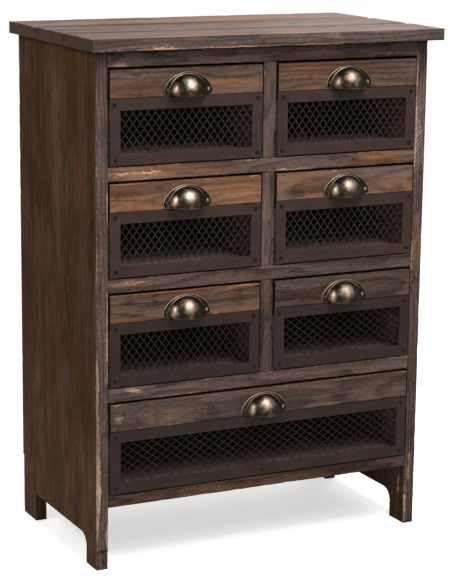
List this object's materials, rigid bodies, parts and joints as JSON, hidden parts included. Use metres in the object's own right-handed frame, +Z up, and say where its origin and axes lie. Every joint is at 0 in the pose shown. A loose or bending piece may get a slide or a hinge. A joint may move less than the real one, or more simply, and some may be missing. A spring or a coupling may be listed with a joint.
{
  "type": "chest of drawers",
  "caption": "Small rustic chest of drawers in dark stained planks, its drawer fronts of metal mesh in flat frames under a wooden strip with a cup pull.",
  "frame": {"origin": "on the floor, midway between the sides and midway between the foremost and rearmost points", "axes": "+Z up, -Y towards the front where the drawers open, +X to the right seen from the front"},
  "size_m": [0.588, 0.346, 0.806],
  "materials": {
    "aged_fir": "stained and worn, matte",
    "drawer_wood": "raw, matte",
    "panel_wood": "stained plywood, matte",
    "dark_bronze_metal": "dark brown paint, satin",
    "mesh_metal": "dark brown paint, satin",
    "antique_brass": "aged, satin",
    "aged_fastener": "darkened, satin"
  },
  "bodies": {
    "carcass": {"top_front_plank": "aged_fir", "top_middle_plank": "aged_fir", "top_back_plank": "aged_fir", "left_side_front_plank": "aged_fir", "left_side_middle_plank": "aged_fir", "left_side_back_plank": "aged_fir", "right_side_front_plank": "aged_fir", "right_side_middle_plank": "aged_fir", "right_side_back_plank": "aged_fir", "top_rail": "aged_fir", "upper_rail": "aged_fir", "middle_rail": "aged_fir", "lower_rail": "aged_fir", "bottom_rail": "aged_fir", "centre_stiles": "aged_fir", "back_panel": "panel_wood", "side_runners": "drawer_wood", "centre_runners": "drawer_wood"},
    "row1_left_drawer": {"row1_left_front": "aged_fir", "row1_left_frame": "dark_bronze_metal", "row1_left_mesh": "mesh_metal", "row1_left_pull": "antique_brass", "row1_left_box": "drawer_wood", "row1_left_fasteners": "aged_fastener"},
    "row1_right_drawer": {"row1_right_front": "aged_fir", "row1_right_frame": "dark_bronze_metal", "row1_right_mesh": "mesh_metal", "row1_right_pull": "antique_brass", "row1_right_box": "drawer_wood", "row1_right_fasteners": "aged_fastener"},
    "row2_left_drawer": {"row2_left_front": "aged_fir", "row2_left_frame": "dark_bronze_metal", "row2_left_mesh": "mesh_metal", "row2_left_pull": "antique_brass", "row2_left_box": "drawer_wood", "row2_left_fasteners": "aged_fastener"},
    "row2_right_drawer": {"row2_right_front": "aged_fir", "row2_right_frame": "dark_bronze_metal", "row2_right_mesh": "mesh_metal", "row2_right_pull": "antique_brass", "row2_right_box": "drawer_wood", "row2_right_fasteners": "aged_fastener"},
    "row3_left_drawer": {"row3_left_front": "aged_fir", "row3_left_frame": "dark_bronze_metal", "row3_left_mesh": "mesh_metal", "row3_left_pull": "antique_brass", "row3_left_box": "drawer_wood", "row3_left_fasteners": "aged_fastener"},
    "row3_right_drawer": {"row3_right_front": "aged_fir", "row3_right_frame": "dark_bronze_metal", "row3_right_mesh": "mesh_metal", "row3_right_pull": "antique_brass", "row3_right_box": "drawer_wood", "row3_right_fasteners": "aged_fastener"},
    "wide_drawer": {"wide_front": "aged_fir", "wide_frame": "dark_bronze_metal", "wide_mesh": "mesh_metal", "wide_pull": "antique_brass", "wide_box": "drawer_wood", "wide_fasteners": "aged_fastener"}
  },
  "joints": [
    {"name": "row1_left_slide", "type": "slide", "parent": "carcass", "child": "row1_left_drawer", "axis": [0, -1, 0], "range_m": [0, 0.21]},
    {"name": "row1_right_slide", "type": "slide", "parent": "carcass", "child": "row1_right_drawer", "axis": [0, -1, 0], "range_m": [0, 0.21]},
    {"name": "row2_left_slide", "type": "slide", "parent": "carcass", "child": "row2_left_drawer", "axis": [0, -1, 0], "range_m": [0, 0.21]},
    {"name": "row2_right_slide", "type": "slide", "parent": "carcass", "child": "row2_right_drawer", "axis": [0, -1, 0], "range_m": [0, 0.21]},
    {"name": "row3_left_slide", "type": "slide", "parent": "carcass", "child": "row3_left_drawer", "axis": [0, -1, 0], "range_m": [0, 0.21]},
    {"name": "row3_right_slide", "type": "slide", "parent": "carcass", "child": "row3_right_drawer", "axis": [0, -1, 0], "range_m": [0, 0.21]},
    {"name": "wide_slide", "type": "slide", "parent": "carcass", "child": "wide_drawer", "axis": [0, -1, 0], "range_m": [0, 0.21]}
  ]
}
